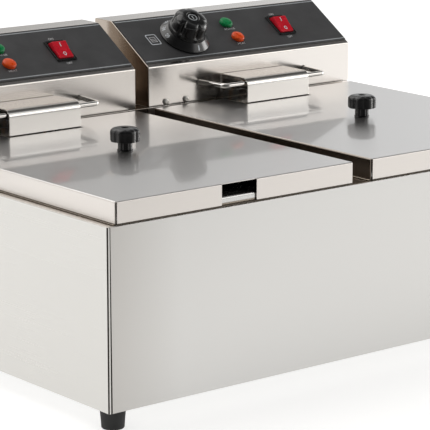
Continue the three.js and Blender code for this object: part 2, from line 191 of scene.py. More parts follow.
def brushed_steel(name, base, rough, grain, spread=0.03, tone=0.03, depth=0.10, stain=0.02, along="X", aniso=0.7,
                  painted_tints=(), **shader):
    """Sheet steel with a straight brushed grain, which blurs reflections across the grain only.
    Each painted tint (axis, from, to, colour) darkens or tints the colour by place, mostly as painted shade and
    painted reflection;
    it fades out between two distances in mm, and with two more distances it fades out between those too, which leaves
    a band."""
    m, n, s, where = new_material(name, base, rough, 1.0, Anisotropic=aniso, **shader)
    lines = n.noise(n.stretched(where, grain), 1.0, 4.0, 0.6)
    fine = n.noise(n.stretched(where, tuple(g * 3.1 for g in grain)), 1.0, 2.0, 0.5)
    both = n.math("ADD", n.math("MULTIPLY", lines, 0.6), n.math("MULTIPLY", fine, 0.4))
    cloud = n.noise(where, 7.0, 3.0, 0.55)
    mix = n.math("ADD", n.math("MULTIPLY", both, 0.7), n.math("MULTIPLY", cloud, 0.3))
    n.link(n.ramp(mix, ((0.30, rough - spread), (0.70, rough + spread))), s.inputs["Roughness"])
    low, high = scaled(base, 1 - tone), scaled(base, 1 + tone)
    warm = (high[0], high[1] * (1 - stain * 0.5), high[2] * (1 - stain))
    colour = n.ramp(mix, ((0.30, low), (0.55, base), (0.75, warm)))
    # each painted tint multiplies the colour by place: painted shade and painted reflection where a material below
    # asks for it
    for axis, start, end, tint, *far in painted_tints:
        distance = n.math("ABSOLUTE", n.axes(where)[axis], 0.0)
        faded = n.fade(distance, start, end)
        if far:
            faded = n.math("MAXIMUM", faded, n.fade(distance, *far))
        colour = n.multiply(colour, n.ramp(faded, ((0.0, tint), (1.0, (1, 1, 1)))))
    n.link(colour, s.inputs["Base Color"])
    bump(n, s, both, depth, 0.00001)
    if aniso:
        t = n.add("ShaderNodeTangent", direction_type="RADIAL", axis=along)
        n.link(t.outputs["Tangent"], s.inputs["Tangent"])
    return m


def moulded(name, base, rough, grain=900.0, depth=0.15, spread=0.06, **shader):
    """Moulded plastic: a fine spark-eroded skin with slightly uneven gloss and worn tone."""
    m, n, s, where = new_material(name, base, rough, 0.0, **shader)
    skin = n.noise(where, grain, 2.0, 0.5)
    cloud = n.noise(where, 45.0, 3.0, 0.6)
    n.link(n.ramp(cloud, ((0.3, rough - spread), (0.7, rough + spread))), s.inputs["Roughness"])
    n.link(n.ramp(cloud, ((0.3, scaled(base, 0.86)), (0.7, scaled(base, 1.14)))), s.inputs["Base Color"])
    bump(n, s, skin, depth, 0.00004)
    return m


def lens(name, base, glow):
    """A coloured lens with a moulded prism texture under a satin top."""
    m, n, s, where = new_material(name, base, 0.3, 0.0, Specular_IOR_Level=0.28)
    cloud = n.noise(where, 260.0, 2.0, 0.5)
    n.link(n.ramp(cloud, ((0.25, base), (0.75, glow))), s.inputs["Base Color"])
    n.link(n.ramp(cloud, ((0.3, 0.22), (0.7, 0.40))), s.inputs["Roughness"])
    bump(n, s, n.noise(where, 900.0, 1.0, 0.4), 0.35, 0.0002)
    return m


def print_ink(name, base, rough=0.5):
    """A thin printed ink, a little speckled."""
    m, n, s, where = new_material(name, base, rough)
    speck = n.noise(where, 1800.0, 2.0, 0.6)
    n.link(n.ramp(speck, ((0.3, scaled(base, 0.85)), (0.7, base))), s.inputs["Base Color"])
    n.link(n.ramp(speck, ((0.3, rough - 0.08), (0.7, rough + 0.08))), s.inputs["Roughness"])
    return m


MAT = {
    # darker towards both ends of the front and rear sheets, beyond 205 mm from the middle
    "front": brushed_steel("front_sheet", (0.645, 0.637, 0.62), 0.24, (2.2, 1100, 1100),
                           painted_tints=(("X", 278, 205, (0.83, 0.815, 0.80)),)),
    "side": brushed_steel("side_sheet", (0.655, 0.645, 0.62), 0.26, (1100, 2.2, 1100), along="Y"),
    # painted shade: darker within 8.8 mm of the middle, where the heads' walls face each other across the gap
    "head": brushed_steel("head_sheet", (0.78, 0.745, 0.71), 0.16, (2.2, 1200, 1200), tone=0.04, aniso=0.65,
                          painted_tints=(("X", 8.1, 8.8, (0.56, 0.51, 0.46)),),
                          Coat_Weight=0.10, Coat_Roughness=0.12),
    # painted shade on the skirts facing each other across the middle gap, and a painted warm reflection on every skirt
    # below the top
    "lid": brushed_steel("lid_sheet", (0.69, 0.675, 0.66), 0.31, (2.6, 1100, 900), spread=0.02, tone=0.02, depth=0.02,
                         painted_tints=(("X", 11.3, 11.9, (0.36, 0.32, 0.28)), ("Z", 195.3, 196.0, (1.0, 0.965, 0.93))),
                         Coat_Weight=0.72, Coat_Roughness=0.05, Coat_IOR=1.75),
    # painted shade: the deck is darker within 14 mm of the middle, between the two wells
    "deck": brushed_steel("deck_sheet", (0.74, 0.705, 0.67), 0.21, (2.2, 1200, 1200), tone=0.04,
                          painted_tints=(("X", 12.0, 14.0, (0.46, 0.42, 0.38)),)),
    # painted shade: a dark band round the rim from about 176 to 179 mm up, in the gap under the lids' skirts
    "tank": brushed_steel("tank_sheet", (0.66, 0.655, 0.64), 0.27, (180, 180, 700), 0.05, aniso=0.0,
                          painted_tints=(("Z", 178.7, 179.8, (0.36, 0.31, 0.26), 176.2, 175.4),)),
    "hidden": brushed_steel("plain_sheet", (0.50, 0.50, 0.49), 0.42, (8, 300, 300), 0.06, aniso=0.0),
    "seam": brushed_steel("seam_shadow", (0.045, 0.038, 0.032), 0.55, (8, 300, 300), 0.06, 0.2, aniso=0.0),
    # painted reflection: the guard is darker above 219 to 221 mm, standing in for the head wall reflected in its top
    "guard": brushed_steel("guard_sheet", (0.83, 0.81, 0.78), 0.15, (2.2, 1200, 1200), tone=0.04,
                           painted_tints=(("Z", 220.8, 218.8, (0.60, 0.56, 0.52)),),
                           Coat_Weight=0.35, Coat_Roughness=0.09),
    "wire": brushed_steel("polished_wire", (0.74, 0.72, 0.69), 0.09, (220, 220, 220), 0.03, 0.03, 0.04, aniso=0.0),
    "mesh": brushed_steel("basket_wire", (0.66, 0.65, 0.63), 0.18, (200, 200, 200), 0.05, 0.03, 0.06, aniso=0.0),
    "sheath": brushed_steel("element_sheath", (0.24, 0.225, 0.205), 0.36, (150, 150, 150), 0.1, 0.22, 0.3, 0.2,
                            aniso=0.0),
    "copper": brushed_steel("bulb_copper", (0.62, 0.36, 0.20), 0.28, (200, 200, 200), 0.08, 0.12, 0.15, aniso=0.0),
    "film": moulded("panel_film", (0.056, 0.056, 0.058), 0.36, 2600.0, 0.08, 0.03),
    "black": moulded("control_plastic", (0.003, 0.003, 0.0034), 0.21, 1500.0, 0.02, 0.01, Specular_IOR_Level=0.72),
    "knob": moulded("lid_knob_plastic", (0.008, 0.008, 0.009), 0.26, 1500.0, 0.06, 0.06),
    "frame": moulded("switch_plastic", (0.005, 0.005, 0.005), 0.24, 1600.0, 0.08, 0.05, Specular_IOR_Level=0.35),
    "grip": moulded("grip_plastic", (0.016, 0.016, 0.017), 0.5, 1200.0, 0.2, 0.06),
    "rubber": moulded("foot_rubber", (0.014, 0.014, 0.014), 0.72, 800.0, 0.35, 0.08),
    "gland": moulded("gland_nylon", (0.016, 0.016, 0.017), 0.5, 1200.0, 0.2, 0.06),
    "green": lens("lamp_green", (0.001, 0.175, 0.045), (0.003, 0.29, 0.085)),
    "orange": lens("lamp_orange", (0.80, 0.060, 0.006), (0.94, 0.125, 0.018)),
    "red": moulded("rocker_plastic", (0.70, 0.010, 0.028), 0.26, 1300.0, 0.06, 0.05, Specular_IOR_Level=0.35),
    "reset": moulded("reset_plastic", (0.42, 0.02, 0.02), 0.35, 1500.0, 0.1, 0.05),
    "screw": brushed_steel("screw_zinc", (0.86, 0.84, 0.80), 0.30, (400, 400, 400), 0.03, 0.03, 0.04, aniso=0.0),
    "silver": print_ink("silver_ink", (0.50, 0.53, 0.55), 0.35),
    "white": print_ink("white_ink", (0.86, 0.91, 0.96), 0.5),
    "grey": print_ink("grey_ink", (0.74, 0.74, 0.75), 0.5),
}


# ---- mesh building
def new_object(name, data):
    o = bpy.data.objects.new(name, data)
    bpy.context.scene.collection.objects.link(o)
    return o


def evaluated(o):
    """A new mesh of an object with its modifiers, or of a curve or a text."""
    bpy.context.view_layer.update()
    graph = bpy.context.evaluated_depsgraph_get()
    return bpy.data.meshes.new_from_object(o.evaluated_get(graph), depsgraph=graph)


def from_curve(name, curve):
    """The mesh of a curve or a text, which is then gone."""
    tmp = new_object(name, curve)
    me = evaluated(tmp)
    bpy.data.objects.remove(tmp)
    return me


def bake(o):
    """Applies an object's modifiers."""
    me, old = evaluated(o), o.data
    o.modifiers.clear()
    o.data = me
    bpy.data.meshes.remove(old)


def clean(me, dist, straighten=False):
    """Merges double points, then turns the faces outwards or, to straighten, joins the level ones."""
    bm = bmesh.new()
    bm.from_mesh(me)
    bmesh.ops.remove_doubles(bm, verts=bm.verts, dist=dist)
    if straighten:
        bmesh.ops.dissolve_limit(bm, angle_limit=math.radians(1), verts=bm.verts, edges=bm.edges)
    else:
        bmesh.ops.recalc_face_normals(bm, faces=bm.faces)
    bm.to_mesh(me)
    bm.free()


def finish_with(me, material):
    me.materials.clear()
    me.materials.append(MAT[material])


def rounded(points, radius, n=5, closed=True):
    """Rounds the corners of an outline or path; radius is one number or one per corner."""
    out, count = [], len(points)
    for i, p in enumerate(points):
        r = radius[i] if isinstance(radius, (list, tuple)) else radius
        p1 = Vector(p)
        if r <= 0 or (not closed and i in (0, count - 1)):
            out.append(p1)
            continue
        a = (Vector(points[i - 1]) - p1).normalized()
        b = (Vector(points[(i + 1) % count]) - p1).normalized()
        angle = a.angle(b)
        if angle > PI - 1e-3:
            out.append(p1)
            continue
        centre = p1 + (a + b).normalized() * (r / math.sin(angle / 2))
        s = p1 + a * (r / math.tan(angle / 2)) - centre
        e = p1 + b * (r / math.tan(angle / 2)) - centre
        turn = PI - angle
        for k in range(n + 1):
            t = k / n
            w = (s * math.sin((1 - t) * turn) + e * math.sin(t * turn)) / math.sin(turn)
            out.append(centre + w)
    return out


def make(name, verts, faces, material, smooth=35.0, second=None):
    """A mesh object from millimetre points, with its faces pointing out and its flat joints kept sharp.
    second(face centre) is true where the face takes the second material."""
    me = bpy.data.meshes.new(name)
    me.from_pydata([Vector(v) * MM for v in verts], [], faces)
    if second:
        for f in me.polygons:
            f.material_index = int(second(f.center / MM))
    clean(me, 1e-7)
    o = new_object(name, me)
    for m in material if isinstance(material, (list, tuple)) else (material,):
        me.materials.append(MAT[m])
    shade(o, smooth)
    return o


def shade(o, smooth=35.0):
    o.data.shade_smooth()
    o.data.set_sharp_from_angle(angle=math.radians(smooth))


def apply_modifiers(o, smooth=35.0):
    bake(o)
    shade(o, smooth)
    return o


def bevel(o, width, segments=2, angle=50.0, smooth=35.0):
    b = o.modifiers.new("bevel", "BEVEL")
    b.width, b.segments = width * MM, segments
    b.limit_method, b.angle_limit = "ANGLE", math.radians(angle)
    return apply_modifiers(o, smooth)


def cut(o, cutters):
    """Cuts the cutters out of an object, and removes them."""
    for c in cutters:
        b = o.modifiers.new("cut", "BOOLEAN")
        b.operation, b.solver, b.object = "DIFFERENCE", "EXACT", c
    apply_modifiers(o)
    for c in cutters:
        bpy.data.objects.remove(c)
    return o


def loft(rings, cap=True):
    """Points and faces through closed rings of equal length."""
    verts = [tuple(p) for ring in rings for p in ring]
    n, faces = len(rings[0]), []
    for j in range(len(rings) - 1):
        for i in range(n):
            k = (i + 1) % n
            faces.append((j * n + i, j * n + k, (j + 1) * n + k, (j + 1) * n + i))
    if cap:
        faces.append(tuple(range(n)))
        faces.append(tuple((len(rings) - 1) * n + i for i in range(n)))
    return verts, faces


def merged(parts):
    """Several (verts, faces) as one."""
    verts, faces = [], []
    for v, f in parts:
        k = len(verts)
        verts += v
        faces += [tuple(i + k for i in face) for face in f]
    return verts, faces


def placed(part, matrix):
    return [tuple(matrix @ Vector(v)) for v in part[0]], part[1]


def polar(rad, z, n):
    """A ring of n points about Z, where rad(angle) is the radius."""
    return [(rad(a) * math.cos(a), rad(a) * math.sin(a), z) for a in (2 * PI * q / n for q in range(n))]


def turned(profile, n=48, closed=False):
    """A profile of (r, h) turned about Z. It starts and ends on the axis, or closes on itself."""
    rings = [polar(lambda _: r, h, n) for r, h in profile]
    if closed:
        rings.append(rings[0])
    return loft(rings, cap=False)


def along_x(profile, x0, x1):
    return loft([[(x, p[0], p[1]) for p in profile] for x in (x0, x1)])


def round_rect(hx, hy, r, z, cx=0.0, cy=0.0, n=8):
    r = max(0.001, r)
    ring = []
    for q, (sx, sy) in enumerate(((1, -1), (1, 1), (-1, 1), (-1, -1))):
        for k in range(n + 1):
            a = -PI / 2 + q * PI / 2 + k / n * PI / 2
            ring.append((cx + sx * (hx - r) + r * math.cos(a), cy + sy * (hy - r) + r * math.sin(a), z))
    return ring


def swept(path, radius, n=14, closed=False):
    """A round wire along a path of points, with frames that don't twist."""
    p = [Vector(q) for q in path]
    p = [q for i, q in enumerate(p) if i == 0 or (q - p[i - 1]).length > 1e-5]
    m = len(p)
    tangent = []
    for i in range(m):
        a = p[(i - 1) % m] if closed or i else p[0]
        b = p[(i + 1) % m] if closed or i < m - 1 else p[-1]
        tangent.append((b - a).normalized())
    side = tangent[0].orthogonal().normalized()
    rings = []
    for i in range(m):
        side = (side - tangent[i] * side.dot(tangent[i])).normalized()
        up = tangent[i].cross(side)
        stretch = 1.0
        if 0 < i < m - 1:
            bend = (p[i] - p[i - 1]).angle(p[i + 1] - p[i], 0.0)
            stretch = 1.0 / max(0.7, math.cos(bend / 2))
        rings.append([p[i] + (side * math.cos(2 * PI * k / n) + up * math.sin(2 * PI * k / n)) * radius * stretch
                      for k in range(n)])
    if closed:
        rings.append(rings[0])
    return loft(rings, cap=not closed)


def plate(name, outer, holes, z0, z1, edge, material, matrix=None):
    """A flat plate between z0 and z1 with any outline and holes, and a small round on its edges."""
    cu = bpy.data.curves.new(name, "CURVE")
    cu.dimensions, cu.fill_mode = "2D", "BOTH"
    for loop in [outer, *holes]:
        s = cu.splines.new("POLY")
        s.points.add(len(loop) - 1)
        for point, q in zip(s.points, loop):
            point.co = (q[0] * MM, q[1] * MM, 0, 1)
        s.use_cyclic_u = True
    cu.extrude = max(0.0, ((z1 - z0) / 2 - edge)) * MM
    cu.bevel_depth, cu.bevel_resolution, cu.offset = edge * MM, 1, -edge * MM
    me = from_curve(name, cu)
    me.transform(Matrix.Translation((0, 0, (z0 + z1) / 2 * MM)))
    clean(me, 2e-6)
    if matrix is not None:
        me.transform(in_metres(matrix))
    o = new_object(name, me)
    finish_with(me, material)
    shade(o, 50)
    return o


def in_metres(matrix):
    m = matrix.copy()
    m.translation = m.translation * MM
    return m


def rect(hx, hy, r, cx=0.0, cy=0.0, n=8):
    """A rounded rectangle as a flat outline."""
    return [(x, y) for x, y, _ in round_rect(hx, hy, r, 0, cx, cy, n)]


def circle(r, cx=0.0, cy=0.0, n=48):
    return [(cx + r * math.cos(2 * PI * k / n), cy + r * math.sin(2 * PI * k / n)) for k in range(n)]


def join(name, objects):
    """Several finished objects as one piece."""
    bm = bmesh.new()
    mats = []
    for o in objects:
        me = o.data.copy()
        me.transform(o.matrix_world)
        start = len(bm.faces)
        bm.from_mesh(me)
        bm.faces.ensure_lookup_table()
        for f in bm.faces[start:]:
            m = o.data.materials[f.material_index]
            if m not in mats:
                mats.append(m)
            f.material_index = mats.index(m)
    me = bpy.data.meshes.new(name)
    bm.to_mesh(me)
    bm.free()
    for m in mats:
        me.materials.append(m)
    for o in objects:
        bpy.data.objects.remove(o)
    return new_object(name, me)


def piece(o, body, slot, *nodes):
    """Puts a finished piece on its body, in place of its CAD nodes. Its large faces keep flat reflections."""
    w = o.modifiers.new("weighted", "WEIGHTED_NORMAL")
    w.keep_sharp, w.weight = True, 60
    bake(o)
    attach(o, body)
    if nodes:
        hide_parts(*nodes)
    return o


def keep(node, material):
    """Keeps a CAD node's own mesh and gives it a finish."""
    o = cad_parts[node]
    finish_with(o.data, material)


def softened(node, material, width):
    """A copy of a CAD node's shape with its sheet edges broken, as a pressed sheet has."""
    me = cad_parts[node].data.copy()
    o = new_object(node + "_sheet", me)
    clean(me, 1e-6, straighten=True)
    finish_with(me, material)
    return bevel(o, width)


def facing(k, x, y, z):
    """A frame whose Z points to the rear of the fryer (k = 1) or to its front (-1)."""
    return Matrix.Translation((x, y, z)) @ Matrix.Rotation(-k * PI / 2, 4, "X")


# ---- casing
def build_casing():
    (_, _, z0), (_, y, z1) = cad_box("rear_panel")
    x, t = cad_box("side_panel_right")[1][0], 1.2
    # front and rear sheets, rolled over at the top, with the seam opening a little towards the bottom
    for name, k in (("front_panel", -1), ("rear_panel", 1)):
        outer = [(k * y, z0), (k * y, z1), (k * (y - 1.3), z1), (k * (y - 1.3), z1 - t), (k * (y - t), z1 - 1.5),
                 (k * (y - t), z0)]
        p = rounded(outer, (0.2, 0.5, 0, 0, 0, 0.2), 5)
        top, bottom = 276.85, 276.1
        verts, faces = loft([[(s * (bottom + (top - bottom) * (q[1] - z0) / (z1 - z0)), q[0], q[1]) for q in p]
                             for s in (-1, 1)])
        o = bevel(make(name + "_sheet", verts, faces, "front"), 0.25, 2, 60)
        piece(o, "casing", "casing_steel", name)

    def in_seam(c):
        """Whether a face at c lies in the dark of a corner seam."""
        back = abs(c.y) > y - 1.35 and abs(c.x) < x - 2.45
        edge = y - 1.6 < abs(c.y) < y - 0.3 and abs(c.x) > x - 1.3
        return back or edge and z0 < c.z < z1

    # side sheets: an open seam at each corner, then a narrow return beside the front or rear sheet
    for side, k in SIDES:
        rings = []
        for z, w in ((z0, 3.85), (z1, 3.1)):
            end = rounded([(0, 1.4), (1.2, 1.4), (1.2, 0), (2.5, 0), (2.5, 0.6), (w, 0.6), (w, 1.3), (2.5, 1.3),
                           (2.5, 2.7), (1.2, 2.7)], (0.35, 0, 0.3, 0.3, 0, 0, 0, 0, 0, 0), 4)
            p = [(k * (x - q.x), -y + q.y) for q in end] + [(k * (x - q.x), y - q.y) for q in reversed(end)]
            rings.append([(q[0], q[1], z) for q in p])
        o = bevel(make(f"side_panel_{side}_sheet", *loft(rings), ("side", "seam"), second=in_seam), 0.4, 3, 60)
        piece(o, "casing", "casing_steel", f"side_panel_{side}")
    outline = rect(277.8, 205.3, 1.0)
    holes = [rect(111, 141, 22, s * WELL_X, WELL_Y, 12) for s in (-1, 1)]
    o = plate("deck_sheet", outline, holes, z1 - t, z1, 0.45, "deck")
    piece(o, "casing", "casing_steel", "deck")
    for s_name, w, mat in (("rear_rail", 0.5, "head"), ("bottom_plate", 0.35, "hidden")):
        piece(softened(s_name, mat, w), "casing", "casing_steel" if s_name == "rear_rail" else "base_sheet", s_name)
    foot = rounded([(0, 0), (9.75, 0), (10.35, 9), (11.25, 17.7), (3, 17.7), (3, 24), (0, 24)],
                   (0, 1.2, 0, 0.8, 0.2, 0.5, 0), 5, closed=False)
    foot = [(0, 0), (6.2, 0), (6.4, 0.5), (7.4, 0.5), (7.6, 0)] + foot[1:]
    for end in ("front", "rear"):
        for side, k in SIDES:
            name = f"foot_{end}_{side}"
            part = placed(turned(foot), Matrix.Translation((*cad_middle(name)[:2], 0)))
            piece(make(name + "_rubber", *part, "rubber"), "casing", "foot_rubber", name)


# ---- tank, basket and lid
def build_tank(side, k):
    at = Matrix.Translation((k * WELL_X, WELL_Y, 0))

    def quarter(steps=5):
        """The sine and cosine of each step of a quarter turn."""
        return [(math.sin(a), math.cos(a)) for a in (j / steps * PI / 2 for j in range(steps + 1))]

    # half width, half depth, corner radius, height and the middle's y: outside going up, then inside going down
    rings = [(97.6, 127.6, 10.8, 37.2, 0)]
    rings += [(98.8 + 8 * s, 128.8 + 8 * s, 10.8 + 8 * s, 45.2 - 8 * c, 0) for s, c in quarter(6)]
    rings += [(109.4 - 2.6 * c, 139.0 - 2.2 * c, 21.4 - 2.6 * c, 182.0 + 2.6 * s, 0) for s, c in quarter()]
    rings += [(125.9 + 2.3 * s, 147.4 + 2.3 * s, 3.7 + 2.3 * s, 182.3 + 2.3 * c, -8.2) for s, c in quarter()]
    rings += [(130.1 - 1.9 * c, 151.6 - 1.9 * c, 7.9 - 1.9 * c, 179.1 - 1.9 * s, -8.2) for s, c in quarter()]
    rings += [(130.8, 159.8, 4.2, 177.2, 0), (131.1, 160.1, 4.3, 176.8, 0), (130.8, 159.8, 4.2, 176.3, 0),
              (127.0, 148.5, 4.8, 176.4, -8.2), (127.0, 148.5, 4.8, 181.8, -8.2), (125.4, 146.9, 3.2, 183.4, -8.2),
              (109.2, 139.2, 21.2, 183.4, 0), (108.0, 138.0, 20.0, 182.2, 0)]
    rings += [(98.8 + 9.2 * c, 128.8 + 9.2 * c, 10.8 + 9.2 * c, 45.2 - 9.2 * s, 0) for s, c in quarter()]
    rings = [round_rect(hx, hy, r, z, 0, cy, n=10) for hx, hy, r, z, cy in rings]
    piece(make(f"tank_{side}_drawn", *placed(loft(rings), at), "tank"), f"tank_{side}", "tank_steel", f"tank_{side}")


def basket_wires():
    """The woven wall of a basket as a net of thin wires on a tapering tub, about the well's centre."""
    x1, ya, yb, za, zb, taper = 87.2, -172 - WELL_Y + 0.8, 58 - WELL_Y - 0.8, 71.0, 169.2, 6.0
    along, across, levels = 39, 27, 17   # wires up the long sides, up the short sides, and rings
    cy, hy = (ya + yb) / 2, (yb - ya) / 2
    parts = []

    def ring(z, r, n):
        t = taper * (zb - z) / (zb - za)
        return swept(round_rect(x1 - t, hy - t, 12, z, 0, cy, 6), r, n, closed=True)

    for j in range(levels + 1):
        z = za + 5 + (zb - za - 7) * j / levels
        parts.append(ring(z, 0.5, 5))
    for r_z, r in ((zb - 1.2, 1.8), (za + 1.6, 1.2)):
        parts.append(ring(r_z, r, 10))
    for s in (-1, 1):
        for j in range(along):
            y = -hy + 12 + (2 * hy - 24) * j / (along - 1)
            parts.append(swept([(s * (x1 - taper - 4), cy + y * 0.95, za), (s * (x1 - taper), cy + y * 0.955, za + 4),
                                (s * x1, cy + y, zb)], 0.5, 5))
        for j in range(across):
            x = -x1 + 12 + (2 * x1 - 24) * j / (across - 1)
            parts.append(swept([(x * 0.93, cy + s * (hy - taper - 4), za), (x * 0.935, cy + s * (hy - taper), za + 4),
                                (x, cy + s * hy, zb)], 0.5, 5))
    for j in range(across):
        x = (-x1 + 14 + (2 * x1 - 28) * j / (across - 1)) * 0.94
        parts.append(swept([(x, cy - hy + taper + 4, za), (x, cy + hy - taper - 4, za)], 0.5, 5))
    for j in range(along):
        y = (-hy + 14 + (2 * hy - 28) * j / (along - 1)) * 0.96
        parts.append(swept([(-x1 + taper + 4, cy + y, za + 0.7), (x1 - taper - 4, cy + y, za + 0.7)], 0.5, 5))
    return merged(parts), yb


def build_basket(side, k):
    at = Matrix.Translation((k * WELL_X, WELL_Y, 0))
    net, yb = basket_wires()
    hook = swept(rounded([(-12, yb, 142), (-12, yb, 188), (-12, yb + 12.4, 188), (-12, yb + 12.4, 176.4),
                          (12, yb + 12.4, 176.4), (12, yb + 12.4, 188), (12, yb, 188), (12, yb, 142)], 4.5, 6,
                         closed=False), 1.9, 12)
    piece(make(f"basket_{side}_wire", *placed(merged([net, hook]), at), "mesh"), f"basket_{side}",
          "polished_wire", f"basket_{side}")
    y0 = -172 - WELL_Y + 3.2
    clip = make("clip", *placed(swept(rounded([(-14, y0, 160), (-14, y0 + 95, 160), (14, y0 + 95, 160),
                                               (14, y0, 160)], 8, 6, closed=False), 1.9, 12), at), "wire")
    rings = []
    for t in range(25):
        u = t / 24
        yy = y0 - 0.2 + 84 + 92 * u
        end = min(1.0, math.sqrt(max(0.0, 1 - abs(2 * u - 1) ** 9)))
        wide = 15.5 + 2.2 * math.sin(PI * u) - 1.2 * math.exp(-((u - 0.12) / 0.07) ** 2)
        hx, hz = max(0.4, wide * end), max(0.3, 7.3 * end)
        rings.append([(p[0], yy, 159.5 + p[1]) for p in round_rect(hx, hz, min(hx, hz) * 0.72, 0, n=5)])
    grip = make("grip", *placed(loft(rings), at), "grip")
    piece(join(f"basket_handle_{side}_grip", [clip, grip]), f"basket_{side}", "grip_black", f"basket_handle_{side}")


def build_lid(side, k):
    (x0, y0, low), (x1, y1, top) = cad_box(f"lid_{side}")
    w, d, r = apart(x1, x0) / 2, apart(y1, y0) / 2, 1.6
    # the cut-out for the guard, from gx0 to gx1 and behind gy, and the notch for the basket's handle
    gx = k * (HEAD_X - WELL_X) + GUARD_AT[side]
    gx0, gx1, gy, notch = gx - 42, gx + 42, 74 - WELL_Y, 19
    xs = sorted({-w + r, -100, -60, -notch, 0, notch, 60, 100, w - r, gx0, gx1})
    ys = [-d + r, -110, -60, 0, 60, gy, d - r]
    verts, index, faces = [], {}, []

    def v(p):
        key = tuple(round(c, 4) for c in p)
        if key not in index:
            index[key] = len(verts)
            verts.append(key)
        return index[key]

    def gap(xm, ym):
        return gx0 < xm < gx1 and ym > gy

    for i in range(len(xs) - 1):
        for j in range(len(ys) - 1):
            if not gap((xs[i] + xs[i + 1]) / 2, (ys[j] + ys[j + 1]) / 2):
                faces.append([v((xs[i], ys[j], top)), v((xs[i + 1], ys[j], top)), v((xs[i + 1], ys[j + 1], top)),
                              v((xs[i], ys[j + 1], top))])
    fold = [(r * math.sin(a), r * math.cos(a) - r) for a in (PI / 12 * q for q in range(7))] + [(r, low - top)]

    def skirt(points, out, open_from=0.0, open_to=0.0):
        """The fold and skirt along an edge, left out where the middle of a step is between the two x."""
        for a, b in zip(points[:-1], points[1:]):
            if open_from < (a[0] + b[0]) / 2 < open_to:
                continue
            for (o0, h0), (o1, h1) in zip(fold[:-1], fold[1:]):
                faces.append([v((p[0] + out[0] * o, p[1] + out[1] * o, top + h))
                              for p, o, h in ((a, o0, h0), (b, o0, h0), (b, o1, h1), (a, o1, h1))])

    front = [(x, -d + r) for x in xs]
    rear = [(x, d - r) for x in xs]
    skirt(front, (0, -1), -notch, notch)
    skirt(rear, (0, 1), gx0, gx1)
    skirt([(-w + r, y) for y in ys], (-1, 0))
    skirt([(w - r, y) for y in ys], (1, 0))
    at = Matrix.Translation((k * WELL_X, WELL_Y, 0))
    o = make(f"lid_{side}_sheet", *placed((verts, faces), at), "lid")
    s = o.modifiers.new("sheet", "SOLIDIFY")
    s.thickness, s.offset, s.use_even_offset = 1.0 * MM, -1.0, True
    apply_modifiers(o, 40)
    piece(bevel(o, 0.15, 1, 60, 40), f"lid_{side}", "lid_steel", f"lid_{side}")


def build_lid_knob(side, k):
    at = Matrix.Translation((k * WELL_X + KNOB_AT[side][0], WELL_Y + KNOB_AT[side][1], 0))
    # radius, height, how lobed and how ribbed
    outline = [(0.02, 196.5, 0, 0), (7.1, 196.5, 0, 0), (7.2, 197.4, 0, 0), (6.7, 197.9, 0, 1), (6.6, 204.9, 0, 1),
               (7.4, 205.2, 0, 0), (13.0, 205.2, 0.8, 0), (13.7, 205.7, 1, 0), (13.8, 213.4, 1, 0),
               (13.4, 214.9, 1, 0), (12.3, 216.1, 0.8, 0), (10.6, 217.1, 0.5, 0), (8.6, 217.5, 0.1, 0),
               (3.7, 217.5, 0, 0), (3.3, 217.1, 0, 0), (3.2, 214.4, 0, 0), (0.02, 214.3, 0, 0)]
    rings = []
    for rad, z, lobe, rib in outline:
        rings.append(polar(lambda a: (rad - 1.25 * lobe * (1 - abs(math.cos(4 * (a + 0.16))) ** 0.8)
                                      - 0.4 * rib * (0.5 + 0.5 * math.cos(12 * a))), z, 144))
    piece(make(f"lid_knob_{side}_moulding", *placed(loft(rings), at), "knob", 32), f"lid_{side}", "lid_knob_black",
          f"lid_knob_{side}")
    head = rounded([(0, 192.9), (4.4, 192.9), (5, 194.9), (2, 194.9), (2, 203.9), (0, 203.9)],
                   (0, 0.9, 0.2, 0.1, 0.4, 0), 5, closed=False)
    piece(make(f"lid_knob_screw_{side}_head", *placed(turned(head, 32), at), "wire"), f"lid_{side}", "polished_wire",
          f"lid_knob_screw_{side}")


# ---- control head
def inset(profile, e):
    """A convex outline moved inwards by e."""
    c = sum((Vector(p) for p in profile), Vector((0, 0))) / len(profile)
    out = []
    for i, p in enumerate(profile):
        a, b = Vector(profile[i - 1]), Vector(profile[(i + 1) % len(profile)])
        t = (b - a).normalized()
        nrm = Vector((t.y, -t.x))
        if nrm.dot(c - Vector(p)) < 0:
            nrm = -nrm
        out.append(Vector(p) + nrm * e)
    return out


def panel_matrix(left):
    """Panel-local millimetres: x along the head, y up the slope from the panel's front edge, z outwards."""
    c, s = math.cos(SLOPE), math.sin(SLOPE)
    m = Matrix.Rotation(SLOPE, 4, "X")
    m.translation = Vector((left, SLOPE_Y + PANEL_START * c, SLOPE_Z + PANEL_START * s))
    return m


